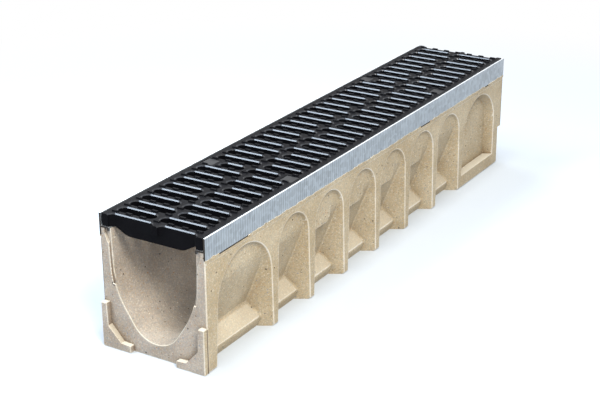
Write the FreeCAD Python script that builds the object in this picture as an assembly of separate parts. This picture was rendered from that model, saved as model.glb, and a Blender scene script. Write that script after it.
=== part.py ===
"""Channel drain: a cast trough with steel edge rails and two locked gratings.

Millimetres. X runs across the channel, Y along it from the spigot end to the socket end,
and Z up from the bed. Shapes are built with the spigot end face at Y = 0 and are moved at
the end, so that the origin is under the middle of the whole object.
"""
import FreeCAD, Part
import math
import os
from FreeCAD import Vector

# Whole channel
LENGTH = 1000.0           # between the two end faces
WIDTH = 185.0             # over the edge rails
HEIGHT = 210.0            # from the bed to the top of the edge rails

# Trough, inside
INVERT_HEIGHT = 22.0      # lowest line of the flow surface above the bed
INVERT_RADIUS = 45.0
FLANK_ANGLE = 57.0        # sloping flanks, from the horizontal
SHOULDER_RADIUS = 120.0   # between a flank and the upright wall
THROAT_WIDTH = 150.0      # between the upright walls at the top
WALL_DRAFT = 2.0          # degrees, lets the mould core out
UPPER_WALL = 11.0         # thickness of the upright walls between the ribs

# Trough, outside
BAND_PROUD = 1.0          # the band under the rails stands out from the ribs
BAND_HEIGHT = 7.5
OUTER_SLOPE = 71.0        # outside of the flanks, from the horizontal
OUTER_RADIUS = 60.0
WAIST_WIDTH = 109.0       # where the trough's outside is narrowest
WAIST_HEIGHT = 41.0
WAIST_RADIUS = 9.0
FOOT_WIDTH = 148.0        # the foot spreads below the waist, and is undercut to the bed
FOOT_TOP = 18.0
FOOT_LOW = 12.0
FOOT_UNDERCUT = 5.5       # on each side, down to the bed
EDGE_CHAMFER = 1.5        # upright edges of the end faces
BED_CHAMFER = 2.0         # long edges on the bed

# Ribs and niches on each side
RIB_PITCH = 107.0
RIB_COUNT = 7
RIB_WIDTH = 19.0          # at the outer plane, at the height of the springing
RIB_FOOT_WIDTH = 12.0
NICHE_DRAFT = 30.0        # degrees, niches narrow towards the trough
NICHE_FILLET = 5.0        # in the valleys between the ribs and the trough
NICHE_CROWN_MARGIN = 13.0  # from the crown of a niche up to the rails
SPRING_HEIGHT = 100.0     # height at which the rib and pilaster widths are given
CROWN_FLAT = 0.1          # straight run left at the crown of each arch
PILASTER_WIDTH = 29.0     # end posts, at the springing
PILASTER_FOOT_WIDTH = 22.0
POCKET_MARGIN = 33.0      # from the socket end face to the closed end niche
POCKET_DEPTH = 16.5
POCKET_SILL = 25.0

# Plates for marking, in the middle niches
PLATE_FIRST_NICHE = 2
PLATE_COUNT = 4
PLATE_CROWN_MARGIN = 27.0  # from the top of a plate up to the crown
PLATE_HEIGHT = 29.0
PLATE_LENGTH = 58.0
PLATE_INSET = 7.5         # behind the rib faces
PLATE_CORNER = 14.0

# Spigots and sockets that line up one channel with the next
SPIGOT_LENGTH = 8.8
SPIGOT_OUTLINE = ((81.5, 72.0), (80.0, 36.0), (58.5, 12.0), (41.0, 11.0))  # across, up
SOCKET_CLEARANCE = 1.0
SOCKET_END_CLEARANCE = 2.2

# Seal groove at the inner edge of each end face
GROOVE_WIDTH = 3.5
GROOVE_DEPTH = 3.0
GROOVE_FOOT = 102.0
FUNNEL_WIDTH = 9.0
FUNNEL_HEIGHT = 22.0
FUNNEL_THROAT = 7.3       # where the funnel starts to narrow, below its mouth

# Edge rails
RAIL_THICKNESS = 3.0
RAIL_LEG = 34.0
RAIL_SEAT_DEPTH = 19.5    # from the top of the rails down to the gratings' seat
RAIL_SEAT_WIDTH = 17.0
RAIL_LIP = 6.5
RAIL_BEND_RADIUS = 1.5    # between the leg and the seat
RAIL_LIP_RADIUS = 3.0     # outside of the bend from the seat to the lip
RAIL_EDGE_RADIUS = 0.6
ANCHOR_COUNT = 5
ANCHOR_LENGTH = 30.0
ANCHOR_FLARE = 4.0
ANCHOR_DEPTH = 16.0
ANCHOR_INSET = 9.0        # from the rail's outer face to the anchor's
CASTING_VOIDS = ((33.0, 106.0), (650.0, 686.0), (917.0, 932.0))  # along, under the right rail
VOID_HEIGHT = 2.0

# Gratings
GRATINGS = ("front", "rear")  # from the spigot end on
GRATING_GAP = 1.0         # between two gratings, and half of it at the ends
GRATING_SIDE_GAP = 2.0    # to each rail
SLOT_PITCH = 27.8
SLOT_WIDTH = 17.4
SLOT_REACH = 77.0         # from the middle to a slot's outer end
SLOT_CHAMFER = 1.6
BRIDGE_WIDTH = 9.0
BRIDGE_DEPTH = 14.0       # the bridges are shallower than the bars
BRIDGE_OFFSET = 6.2       # the bridge steps left and right from row to row
LOCK_ROW_REACH = 53.5     # the middle row is short, and leaves room for the locks
GRATING_EDGE_RADIUS = 1.2
GRATING_FOOT_RADIUS = 0.8
HAUNCH_DEPTH = 31.0       # bars, in the middle
HAUNCH_FLAT = 98.0
HAUNCH_SPAN = 141.0
HAUNCH_RADIUS = 22.0
HAUNCH_ROOT_RADIUS = 11.0
STUD_COUNT = 7
STUD_PITCH = 24.6
STUD_LENGTH = 11.0
STUD_WIDTH = 4.5
STUD_HEIGHT = 2.0
STUD_TAPER = 0.7
STUD_OFFSET = 1.9         # from a bar's middle line

# Snap locks
LOCK_LENGTH = 24.0
LOCK_WIDTH = 22.0
LOCK_THICKNESS = 9.0
LOCK_EDGE = 4.0           # casting left between a lock and the grating's side
LOCK_RECESS = 0.6         # its top lies this far below the bars
LOCK_FIT = 0.3
ARM_LENGTH = 14.0
ARM_THICKNESS = 3.0
ARM_GAP = 1.0             # between the arm and the rail's lip
HOOK_BITE = 2.0
HOOK_HEIGHT = 5.0
HOOK_GAP = 0.4            # between the hook and the lip's lower edge
HOOK_POCKET_DEPTH = 4.0
HOOK_POCKET_MARGIN = 4.0

# Worked out from the sizes above
HALF_WIDTH = WIDTH / 2
RIB_FACE = HALF_WIDTH - BAND_PROUD
RAIL_INNER = HALF_WIDTH - RAIL_THICKNESS
RAIL_FOOT = HEIGHT - RAIL_LEG
RAIL_SEAT_TOP = HEIGHT - RAIL_SEAT_DEPTH
RAIL_SEAT_UNDER = RAIL_SEAT_TOP - RAIL_THICKNESS
LIP_INNER = HALF_WIDTH - RAIL_SEAT_WIDTH
LIP_FOOT = RAIL_SEAT_TOP - RAIL_LIP
GRATING_LENGTH = LENGTH / len(GRATINGS)
GRATING_HALF_WIDTH = RAIL_INNER - GRATING_SIDE_GAP
NICHE_TOP = RAIL_FOOT - NICHE_CROWN_MARGIN
FIRST_RIB = LENGTH / 2 - RIB_PITCH * (RIB_COUNT - 1) / 2
LAST_RIB = LENGTH / 2 + RIB_PITCH * (RIB_COUNT - 1) / 2
LAST_ROW = int((GRATING_LENGTH + SLOT_WIDTH) / 2 / SLOT_PITCH)  # counted from the middle row, 0
OVER = 1.0                # how far a cutter runs past the face that it cuts
SAME_POINT = 1e-6


def across(y):
    """Place (across, up) points in the plane at y."""
    return lambda p: Vector(p.x, y, p.y)


def along(x):
    """Place (along, up) points in the plane at x."""
    return lambda p: Vector(x, p.x, p.y)


def level(z):
    """Place (across, along) points in the plane at z."""
    return lambda p: Vector(p.x, p.y, z)


def outline(points, radii, place):
    """Closed wire through the points, with each corner rounded to its radius."""
    corners = [Vector(u, v, 0) for u, v in points]
    starts, middles, ends = [], [], []
    for i, corner in enumerate(corners):
        back = (corners[i - 1] - corner).normalize()
        ahead = (corners[(i + 1) % len(corners)] - corner).normalize()
        half_angle = back.getAngle(ahead) / 2
        reach = radii[i] / math.tan(half_angle)
        starts.append(corner + back * reach)
        ends.append(corner + ahead * reach)
        if radii[i]:
            centre = corner + (back + ahead).normalize() * (radii[i] / math.sin(half_angle))
            middles.append(centre + (corner - centre).normalize() * radii[i])
        else:
            middles.append(None)
    edges = []
    for i, middle in enumerate(middles):
        if middle is not None:
            edges.append(Part.Arc(place(starts[i]), place(middle), place(ends[i])).toShape())
        following = (i + 1) % len(corners)
        if ends[i].distanceToPoint(starts[following]) > SAME_POINT:
            edges.append(Part.LineSegment(place(ends[i]), place(starts[following])).toShape())
    return Part.Wire(edges)


def prism(wire, direction):
    """Solid swept straight from a flat wire."""
    return Part.Face(wire).extrude(direction)


def box(low, high):
    """Box between two corners."""
    size = [b - a for a, b in zip(low, high)]
    return Part.makeBox(*size, Vector(*low))


def mirrored(shape):
    """The same shape on the other side of the channel."""
    return shape.mirror(Vector(0, 0, 0), Vector(1, 0, 0))


def both_sides(shapes):
    """The shapes and their mirror images."""
    return shapes + [mirrored(shape) for shape in shapes]


# The trough's section ---------------------------------------------------------------------

def flank_x(z, offset):
    """Flank line of the flow surface, moved outwards by offset."""
    angle = math.radians(FLANK_ANGLE)
    apex = INVERT_HEIGHT + INVERT_RADIUS - INVERT_RADIUS / math.cos(angle)
    return (z - apex) / math.tan(angle) + offset / math.sin(angle)


def wall_x(z, offset):
    """Upright wall of the flow surface, moved outwards by offset."""
    top = RAIL_SEAT_UNDER
    return THROAT_WIDTH / 2 - (top - z) * math.tan(math.radians(WALL_DRAFT)) + offset


def shoulder_height(offset):
    """Height at which the flank and wall lines meet."""
    flank_slope = 1 / math.tan(math.radians(FLANK_ANGLE))
    wall_slope = math.tan(math.radians(WALL_DRAFT))
    return (wall_x(0, offset) - flank_x(0, offset)) / (flank_slope - wall_slope)


def flow_section(offset, top, place):
    """Section of the flow space, grown outwards by offset."""
    angle = math.radians(FLANK_ANGLE)
    apex = INVERT_HEIGHT + INVERT_RADIUS - (INVERT_RADIUS + offset) / math.cos(angle)
    shoulder = shoulder_height(offset)
    half = [(flank_x(shoulder, offset), shoulder), (wall_x(top, offset), top)]
    points = [(0, apex)] + half + [(-x, z) for x, z in reversed(half)]
    radii = [INVERT_RADIUS + offset, SHOULDER_RADIUS + offset, 0, 0, SHOULDER_RADIUS + offset]
    return outline(points, radii, place)


def trough_shell():
    """The trough without ribs: its outside between them, filled solid."""
    top = RAIL_SEAT_UNDER
    slope = 1 / math.tan(math.radians(OUTER_SLOPE))
    wall_slope = math.tan(math.radians(WALL_DRAFT))
    waist = WAIST_WIDTH / 2
    bend = (wall_x(0, UPPER_WALL) - waist + WAIST_HEIGHT * slope) / (slope - wall_slope)
    half = [(FOOT_WIDTH / 2 - FOOT_UNDERCUT, 0), (FOOT_WIDTH / 2, FOOT_LOW), (FOOT_WIDTH / 2, FOOT_TOP),
            (waist, WAIST_HEIGHT), (wall_x(bend, UPPER_WALL), bend), (wall_x(top, UPPER_WALL), top)]
    radii = [0, 0, 0, WAIST_RADIUS, OUTER_RADIUS, 0]
    points = half + [(-x, z) for x, z in reversed(half)]
    wire = outline(points, radii + radii[::-1], across(-OVER))
    return prism(wire, Vector(0, LENGTH + 2 * OVER, 0))


def outer_block():
    """Everything within the casting's outer faces, below the rails."""
    half = [(RIB_FACE - BED_CHAMFER, 0), (RIB_FACE, BED_CHAMFER), (RIB_FACE, RAIL_FOOT - BAND_HEIGHT),
            (HALF_WIDTH, RAIL_FOOT - BAND_HEIGHT), (HALF_WIDTH, RAIL_FOOT), (RAIL_INNER, RAIL_FOOT),
            (RAIL_INNER, RAIL_SEAT_UNDER)]
    points = half + [(-x, z) for x, z in reversed(half)]
    block = prism(outline(points, [0] * len(points), across(0)), Vector(0, LENGTH, 0))
    return block.cut(both_sides([end_chamfer(0, 1), end_chamfer(LENGTH, -1)]))


def end_chamfer(y, inward):
    """Cutter for the upright edge of an end face."""
    points = [(HALF_WIDTH - EDGE_CHAMFER, y - inward * OVER), (HALF_WIDTH + OVER, y - inward * OVER),
              (HALF_WIDTH + OVER, y + inward * (EDGE_CHAMFER + BAND_PROUD)),
              (HALF_WIDTH - EDGE_CHAMFER, y)]
    return prism(outline(points, [0] * 4, level(-OVER)), Vector(0, 0, RAIL_FOOT + OVER))


# Niches -----------------------------------------------------------------------------------

def arch(y_low, y_high, foot_low, foot_high, foot, top, inset, x):
    """Arched opening between two posts, in the plane at x, drawn in by inset."""
    low = y_low + inset
    high = y_high - inset
    crown = top - inset
    half = (high - low) / 2
    rise = crown - SPRING_HEIGHT
    lean_low = (y_low - foot_low) / SPRING_HEIGHT
    lean_high = (foot_high - y_high) / SPRING_HEIGHT
    top_low = low + lean_low * rise
    top_high = high - lean_high * rise
    down = SPRING_HEIGHT - foot
    points = [(low - lean_low * down, foot), (top_low, crown), (top_high, crown),
              (high + lean_high * down, foot)]
    middle = (top_low + top_high) / 2
    angles = [math.radians(90) + math.atan(lean) for lean in (lean_low, lean_high)]
    reach = min(middle - top_low, half) - CROWN_FLAT / 2
    radii = [0] + [reach * math.tan(angle / 2) for angle in angles] + [0]
    return outline(points, radii, along(x))


def arch_cutter(y_low, y_high, foot_low, foot_high, foot, back):
    """Drafted arch from outside the rib faces in to the plane at back."""
    outer_x = HALF_WIDTH + OVER
    grow = (outer_x - RIB_FACE) * math.tan(math.radians(NICHE_DRAFT))
    shrink = (RIB_FACE - back) * math.tan(math.radians(NICHE_DRAFT))
    span = (y_low, y_high, foot_low, foot_high, foot, NICHE_TOP)
    return Part.makeLoft([arch(*span, -grow, outer_x), arch(*span, shrink, back)], True, True)


def niche_cutters(shell):
    """The niches between the ribs of one side."""
    root = WAIST_WIDTH / 2 - OVER
    posts = [FIRST_RIB + RIB_PITCH * i for i in range(RIB_COUNT)]
    cutters = []
    for i, rib in enumerate(posts):
        if i == 0:
            low, foot_low = PILASTER_WIDTH, PILASTER_FOOT_WIDTH
        else:
            low, foot_low = posts[i - 1] + RIB_WIDTH / 2, posts[i - 1] + RIB_FOOT_WIDTH / 2
        high, foot_high = rib - RIB_WIDTH / 2, rib - RIB_FOOT_WIDTH / 2
        cutter = arch_cutter(low, high, foot_low, foot_high, -OVER, root).cut(shell)
        cutter = cutter.makeFillet(NICHE_FILLET, valley_edges(cutter))
        if PLATE_FIRST_NICHE <= i < PLATE_FIRST_NICHE + PLATE_COUNT:
            cutter = cutter.cut(marking_plate(low))
        cutters.append(cutter)
    cutters.append(end_pocket_cutter())
    return cutters


def valley_edges(cutter):
    """Edges where a niche's drafted sides meet the trough, above the foot."""
    edges = []
    for edge in cutter.Edges:
        middle = edge.valueAt((edge.FirstParameter + edge.LastParameter) / 2)
        faces = cutter.ancestorsOfType(edge, Part.Face)
        drafted = [face for face in faces if face.BoundBox.XMax > RIB_FACE]
        if len(drafted) == 1 and middle.x < RIB_FACE and middle.z > FOOT_LOW:
            edges.append(edge)
    return edges


def marking_plate(y_low):
    """Bare raised plate beside a rib."""
    face = RIB_FACE - PLATE_INSET
    start = y_low - RIB_WIDTH / 2
    end = y_low + PLATE_LENGTH
    high = NICHE_TOP - PLATE_CROWN_MARGIN
    low = high - PLATE_HEIGHT
    points = [(start, low), (end, low), (end, high), (start, high)]
    wire = outline(points, [0, PLATE_CORNER, 0, 0], along(THROAT_WIDTH / 2))
    return prism(wire, Vector(face - THROAT_WIDTH / 2, 0, 0))


def end_pocket_cutter():
    """The flat-backed niche beside the socket end, closed below by a sill."""
    low = LAST_RIB + RIB_WIDTH / 2
    foot_low = LAST_RIB + RIB_FOOT_WIDTH / 2
    high = LENGTH - POCKET_MARGIN
    return arch_cutter(low, high, foot_low, high, POCKET_SILL, RIB_FACE - POCKET_DEPTH)


# Ends -------------------------------------------------------------------------------------

def spigot(length, start, grow):
    """Corner block of one side, starting at start; grow makes room for it in a socket."""
    inner = [(x - grow, z + grow) for x, z in SPIGOT_OUTLINE]
    outer = RIB_FACE if grow == 0 else RIB_FACE + OVER
    low = 0 if grow == 0 else -OVER
    foot = (inner[-1][0], low)
    points = [(outer, inner[0][1])] + inner + [foot, (outer, low)]
    return prism(outline(points, [0] * len(points), across(start)), Vector(0, length, 0))


def seal_groove(start, inward):
    """Groove along the inner edge of an end face, wider at its mouth."""
    top = RAIL_SEAT_UNDER + OVER
    grown = prism(flow_section(GROOVE_WIDTH, top, across(start - inward * OVER)),
                  Vector(0, inward * (GROOVE_DEPTH + OVER), 0))
    upper = box((-HALF_WIDTH, -OVER, GROOVE_FOOT), (HALF_WIDTH, LENGTH + OVER, top))
    groove = grown.common(upper)
    mouth = RAIL_SEAT_UNDER
    inner = wall_x(mouth, 0)
    points = [(inner - OVER, mouth - FUNNEL_HEIGHT), (inner + GROOVE_WIDTH, mouth - FUNNEL_HEIGHT),
              (inner + FUNNEL_WIDTH, mouth - FUNNEL_THROAT), (inner + FUNNEL_WIDTH, top),
              (inner - OVER, top)]
    funnel = prism(outline(points, [0, 0, GROOVE_WIDTH, 0, 0], across(start - inward * OVER)),
                   Vector(0, inward * (GROOVE_DEPTH + OVER), 0))
    return groove.fuse(both_sides([funnel])).removeSplitter()


# Edge rails -------------------------------------------------------------------------------

def edge_rail():
    """Right rail: outer leg, seat and inner lip, with anchors under the seat."""
    points = [(HALF_WIDTH, RAIL_FOOT), (HALF_WIDTH, HEIGHT), (RAIL_INNER, HEIGHT),
              (RAIL_INNER, RAIL_SEAT_TOP), (LIP_INNER, RAIL_SEAT_TOP), (LIP_INNER, LIP_FOOT),
              (LIP_INNER + RAIL_THICKNESS, LIP_FOOT), (LIP_INNER + RAIL_THICKNESS, RAIL_SEAT_UNDER),
              (RAIL_INNER, RAIL_SEAT_UNDER), (RAIL_INNER, RAIL_FOOT)]
    edge = RAIL_EDGE_RADIUS
    radii = [0, edge, edge, RAIL_BEND_RADIUS, RAIL_LIP_RADIUS, 0, 0, 0, 0, 0]
    rail = prism(outline(points, radii, across(0)), Vector(0, LENGTH, 0))
    return rail.fuse([anchor(i) for i in range(ANCHOR_COUNT)]).removeSplitter()


def anchor(index):
    """Dovetail tab that holds the rail in the casting."""
    middle = LENGTH * (index + 0.5) / ANCHOR_COUNT
    top = RAIL_SEAT_UNDER
    half = ANCHOR_LENGTH / 2
    points = [(middle - half, top), (middle - half - ANCHOR_FLARE, top - ANCHOR_DEPTH),
              (middle + half + ANCHOR_FLARE, top - ANCHOR_DEPTH), (middle + half, top)]
    wire = outline(points, [0] * 4, along(HALF_WIDTH - ANCHOR_INSET))
    return prism(wire, Vector(-RAIL_THICKNESS, 0, 0))


def casting_void(span):
    """Gap that the casting left under the right rail's lower edge."""
    return box((RAIL_INNER, span[0], RAIL_FOOT - VOID_HEIGHT), (HALF_WIDTH + OVER, span[1], RAIL_FOOT))


# Gratings and locks -----------------------------------------------------------------------

def slot_outline(x_low, x_high, y, grow, z):
    """Round-ended slot across the channel."""
    half = SLOT_WIDTH / 2 + grow
    low = x_low - grow + half
    high = x_high + grow - half
    return Part.Wire([
        Part.LineSegment(Vector(low, y - half, z), Vector(high, y - half, z)).toShape(),
        Part.Arc(Vector(high, y - half, z), Vector(high + half, y, z), Vector(high, y + half, z)).toShape(),
        Part.LineSegment(Vector(high, y + half, z), Vector(low, y + half, z)).toShape(),
        Part.Arc(Vector(low, y + half, z), Vector(low - half, y, z), Vector(low, y - half, z)).toShape()])


def slot_cutter(x_low, x_high, y):
    """One slot with its chamfered rim."""
    rim = HEIGHT - SLOT_CHAMFER
    depth = HAUNCH_DEPTH + OVER
    shaft = prism(slot_outline(x_low, x_high, y, 0, rim), Vector(0, 0, -depth))
    grow = SLOT_CHAMFER + OVER
    flare = Part.makeLoft([slot_outline(x_low, x_high, y, 0, rim),
                           slot_outline(x_low, x_high, y, grow, HEIGHT + OVER)], True, True)
    return shaft.fuse(flare)


def row_y(row):
    """Middle line of a row of slots, from the start of its grating."""
    return GRATING_LENGTH / 2 + SLOT_PITCH * row


def slot_row(row):
    """The two slots of a row, joined under the bridge, which steps from side to side."""
    y = row_y(row)
    middle = -BRIDGE_OFFSET if row % 2 == 0 else BRIDGE_OFFSET
    reach = LOCK_ROW_REACH if row == 0 else SLOT_REACH
    low = middle - BRIDGE_WIDTH / 2
    high = middle + BRIDGE_WIDTH / 2
    half_slot = SLOT_WIDTH / 2
    under = box((low - half_slot, y - half_slot, HEIGHT - HAUNCH_DEPTH - OVER),
                (high + half_slot, y + half_slot, HEIGHT - BRIDGE_DEPTH))
    return [slot_cutter(-reach, low, y), slot_cutter(high, reach, y), under]


def studs():
    """Anti-slip studs on the bars."""
    shapes = []
    for bar in range(-LAST_ROW, LAST_ROW):
        y = row_y(bar) + SLOT_PITCH / 2 + STUD_OFFSET
        for i in range(STUD_COUNT):
            x = STUD_PITCH * (i - (STUD_COUNT - 1) / 2)
            shapes.append(stud(x, y))
    return shapes


def stud(x, y):
    """Low stud with sloping sides."""
    def ring(inset, z):
        half_length = STUD_LENGTH / 2 - inset
        half_width = STUD_WIDTH / 2 - inset
        corners = [(x - half_length, y - half_width), (x + half_length, y - half_width),
                   (x + half_length, y + half_width), (x - half_length, y + half_width)]
        return outline(corners, [0] * 4, level(z))
    sunk = HEIGHT - OVER
    foot = -STUD_TAPER * OVER / STUD_HEIGHT
    return Part.makeLoft([ring(foot, sunk), ring(STUD_TAPER, HEIGHT + STUD_HEIGHT)], True, True)


def grating():
    """One cast grating, starting at y = 0. Half slots open at both of its ends."""
    side = GRATING_HALF_WIDTH
    flat = HAUNCH_FLAT / 2
    span = HAUNCH_SPAN / 2
    low = HEIGHT - HAUNCH_DEPTH
    half = [(flat, low), (span, RAIL_SEAT_TOP), (side, RAIL_SEAT_TOP), (side, HEIGHT)]
    radii = [HAUNCH_RADIUS, HAUNCH_ROOT_RADIUS, GRATING_FOOT_RADIUS, GRATING_EDGE_RADIUS]
    points = half + [(-x, z) for x, z in reversed(half)]
    ends = GRATING_GAP / 2
    wire = outline(points, radii + radii[::-1], across(ends))
    block = prism(wire, Vector(0, GRATING_LENGTH - GRATING_GAP, 0))
    slots = [cutter for row in range(-LAST_ROW, LAST_ROW + 1) for cutter in slot_row(row)]
    return block.cut(slots).fuse(studs()).removeSplitter().cut(both_sides([lock_hole()]))


def lock_box(fit):
    """Body of a lock, from y = 0 of its grating; fit makes room for it."""
    outer = GRATING_HALF_WIDTH - LOCK_EDGE
    middle = GRATING_LENGTH / 2
    top = HEIGHT - LOCK_RECESS
    return ((outer - LOCK_WIDTH - fit, middle - LOCK_LENGTH / 2 - fit, top - LOCK_THICKNESS),
            (outer + fit, middle + LOCK_LENGTH / 2 + fit, top))


def arm_box(fit):
    """Springy arm of a lock, down to its hook."""
    outer = LIP_INNER - ARM_GAP
    middle = GRATING_LENGTH / 2
    low = LIP_FOOT - HOOK_GAP - HOOK_HEIGHT
    return ((outer - ARM_THICKNESS - fit, middle - ARM_LENGTH / 2 - fit, low),
            (outer + fit, middle + ARM_LENGTH / 2 + fit, HEIGHT - LOCK_RECESS - LOCK_THICKNESS + OVER))


def lock_hole():
    """Seat for a lock in the grating, with the way through for its arm."""
    low, high = lock_box(LOCK_FIT)
    seat = box(low, (high[0], high[1], HEIGHT + STUD_HEIGHT + OVER))
    arm_low, arm_high = arm_box(HOOK_BITE + ARM_GAP)
    way = box((arm_low[0], arm_low[1], HEIGHT - HAUNCH_DEPTH - OVER), arm_high)
    return seat.fuse(way)


def lock():
    """Snap lock of one side, from y = 0 of its grating."""
    arm_low, arm_high = arm_box(0)
    tip = arm_high[0] + ARM_GAP + HOOK_BITE
    hook_top = LIP_FOOT - HOOK_GAP
    points = [(arm_high[0], arm_low[2]), (tip, hook_top), (arm_high[0] - ARM_THICKNESS, hook_top),
              (arm_high[0] - ARM_THICKNESS, arm_low[2])]
    hook = prism(outline(points, [0] * 4, across(arm_low[1])), Vector(0, ARM_LENGTH, 0))
    body = box(*lock_box(0))
    return body.fuse([box(arm_low, arm_high), hook]).removeSplitter()


def hook_pocket(y):
    """Recess in the trough's wall under the rail's lip, for a hook."""
    half = ARM_LENGTH / 2 + HOOK_POCKET_MARGIN
    low = LIP_FOOT - HOOK_GAP - HOOK_HEIGHT - HOOK_POCKET_MARGIN
    return box((LIP_INNER - ARM_GAP - ARM_THICKNESS, y - half, low),
               (LIP_INNER + HOOK_POCKET_DEPTH, y + half, LIP_FOOT))


# The whole --------------------------------------------------------------------------------

def channel_body(rails):
    """The trough casting, moulded around the rails."""
    body = outer_block().fuse(both_sides([spigot(SPIGOT_LENGTH, -SPIGOT_LENGTH, 0)])).removeSplitter()
    flow = prism(flow_section(0, RAIL_SEAT_UNDER + OVER, across(-OVER)), Vector(0, LENGTH + 2 * OVER, 0))
    socket_depth = SPIGOT_LENGTH + SOCKET_END_CLEARANCE
    sockets = both_sides([spigot(socket_depth + OVER, LENGTH - socket_depth, SOCKET_CLEARANCE)])
    pockets = [hook_pocket(GRATING_LENGTH * (i + 0.5)) for i in range(len(GRATINGS))]
    voids = [casting_void(span) for span in CASTING_VOIDS]
    grooves = [seal_groove(0, 1), seal_groove(LENGTH, -1)]
    niches = niche_cutters(trough_shell())
    body = body.cut([flow] + sockets + grooves + both_sides(niches + pockets) + voids)
    return body.cut(rails)


def main():
    os.makedirs("parts", exist_ok=True)
    right_rail = edge_rail()
    rails = [right_rail, mirrored(right_rail)]
    nodes = {"channel_body": channel_body(rails), "edge_rail_right": rails[0], "edge_rail_left": rails[1]}
    one_grating = grating()
    one_lock = lock()
    for i, place in enumerate(GRATINGS):
        start = Vector(0, GRATING_LENGTH * i, 0)
        nodes["grating_" + place] = one_grating.translated(start)
        nodes["lock_" + place + "_right"] = one_lock.translated(start)
        nodes["lock_" + place + "_left"] = mirrored(one_lock).translated(start)
    to_middle = Vector(0, (SPIGOT_LENGTH - LENGTH) / 2, 0)
    for name, shape in nodes.items():
        placed = shape.translated(to_middle)
        solids = placed.Solids
        print(name, len(solids), "solid", round(placed.Volume / 1000, 1), "cm3", placed.isValid())
        placed = solids[0] if len(solids) == 1 else placed
        placed.exportStep("parts/" + name + ".step")


main()
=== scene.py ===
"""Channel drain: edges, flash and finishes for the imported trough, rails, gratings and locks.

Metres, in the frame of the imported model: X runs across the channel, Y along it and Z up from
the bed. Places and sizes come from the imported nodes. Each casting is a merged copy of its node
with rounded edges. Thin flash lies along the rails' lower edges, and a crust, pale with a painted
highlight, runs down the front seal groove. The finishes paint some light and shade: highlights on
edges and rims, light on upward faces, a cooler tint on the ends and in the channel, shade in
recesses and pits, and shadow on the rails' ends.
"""
import math

import bpy
from bpy.props import FloatProperty, FloatVectorProperty, PointerProperty
from mathutils import Euler, Matrix, Vector


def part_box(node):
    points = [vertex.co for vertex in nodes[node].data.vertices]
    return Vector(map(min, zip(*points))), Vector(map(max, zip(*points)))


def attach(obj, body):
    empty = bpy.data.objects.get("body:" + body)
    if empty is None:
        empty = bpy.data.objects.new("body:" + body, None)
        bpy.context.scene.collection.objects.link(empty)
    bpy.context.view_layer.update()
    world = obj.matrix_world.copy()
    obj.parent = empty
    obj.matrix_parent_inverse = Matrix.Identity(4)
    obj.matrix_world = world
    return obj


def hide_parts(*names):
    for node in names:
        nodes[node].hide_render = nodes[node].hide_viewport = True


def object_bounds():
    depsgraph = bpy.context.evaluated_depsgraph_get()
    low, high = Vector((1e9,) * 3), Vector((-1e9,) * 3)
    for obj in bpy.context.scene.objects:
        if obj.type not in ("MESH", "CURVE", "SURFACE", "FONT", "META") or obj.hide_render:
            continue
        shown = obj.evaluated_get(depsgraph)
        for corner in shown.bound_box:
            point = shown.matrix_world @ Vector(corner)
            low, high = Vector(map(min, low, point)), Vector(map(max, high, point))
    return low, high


bl_info = {
    "name": "Channel Drain",
    "version": (1, 0, 0),
    "blender": (4, 5, 0),
    "location": "View3D > Sidebar > Drain",
    "description": "Rounded castings, zinc rails and studio stage for a channel drain",
    "category": "Object",
}

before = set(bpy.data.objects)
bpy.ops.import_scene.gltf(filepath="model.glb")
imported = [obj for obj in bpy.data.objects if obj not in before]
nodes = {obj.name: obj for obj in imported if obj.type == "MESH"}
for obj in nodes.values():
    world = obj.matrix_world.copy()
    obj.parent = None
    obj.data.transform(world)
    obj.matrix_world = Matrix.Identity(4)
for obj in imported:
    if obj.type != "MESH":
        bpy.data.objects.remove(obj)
cad_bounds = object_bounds()

MM = 0.001
MERGE_DISTANCE = 0.005 * MM
TOLERANCE = 0.1 * MM  # a point this near to a plane counts as lying on it
FLAT_ANGLE = math.radians(0.6)
SHARP_ANGLE = math.radians(28)
SMOOTH_ANGLE = math.radians(32)


# Colours and nodes --------------------------------------------------------------------------

def linear(hex_colour):
    """Linear RGB of an sRGB hex colour."""
    channels = [int(hex_colour[i:i + 2], 16) / 255 for i in (0, 2, 4)]
    return tuple(c / 12.92 if c <= 0.04045 else ((c + 0.055) / 1.055) ** 2.4 for c in channels)


def per_mm(size):
    """Texture scale on metre coordinates for a feature of this many millimetres."""
    return 1000 / size


def add_node(tree, kind, inputs=None, stops=None, **settings):
    """Add a shader node. Inputs take values or other nodes' outputs; stops are (place, colour or grey)."""
    made = tree.nodes.new(kind)
    for name, value in settings.items():
        setattr(made, name, value)
    for socket, value in (inputs or {}).items():
        if isinstance(value, bpy.types.NodeSocket):
            tree.links.new(value, made.inputs[socket])
        else:
            made.inputs[socket].default_value = value
    if stops:
        elements = made.color_ramp.elements
        while len(elements) < len(stops):
            elements.new(1)
        for element, (place, colour) in zip(elements, stops):
            element.position = place
            element.color = (*colour, 1) if isinstance(colour, tuple) else (colour, colour, colour, 1)
    return made


def new_material(name):
    """Empty material, its tree, its shader and its object coordinates."""
    material = bpy.data.materials.new(name)
    material.use_nodes = True
    tree = material.node_tree
    shader = tree.nodes["Principled BSDF"]
    coordinates = add_node(tree, "ShaderNodeTexCoord").outputs["Object"]
    return material, tree, shader, coordinates


# Sizes and colours that a user would change -------------------------------------------------

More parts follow.
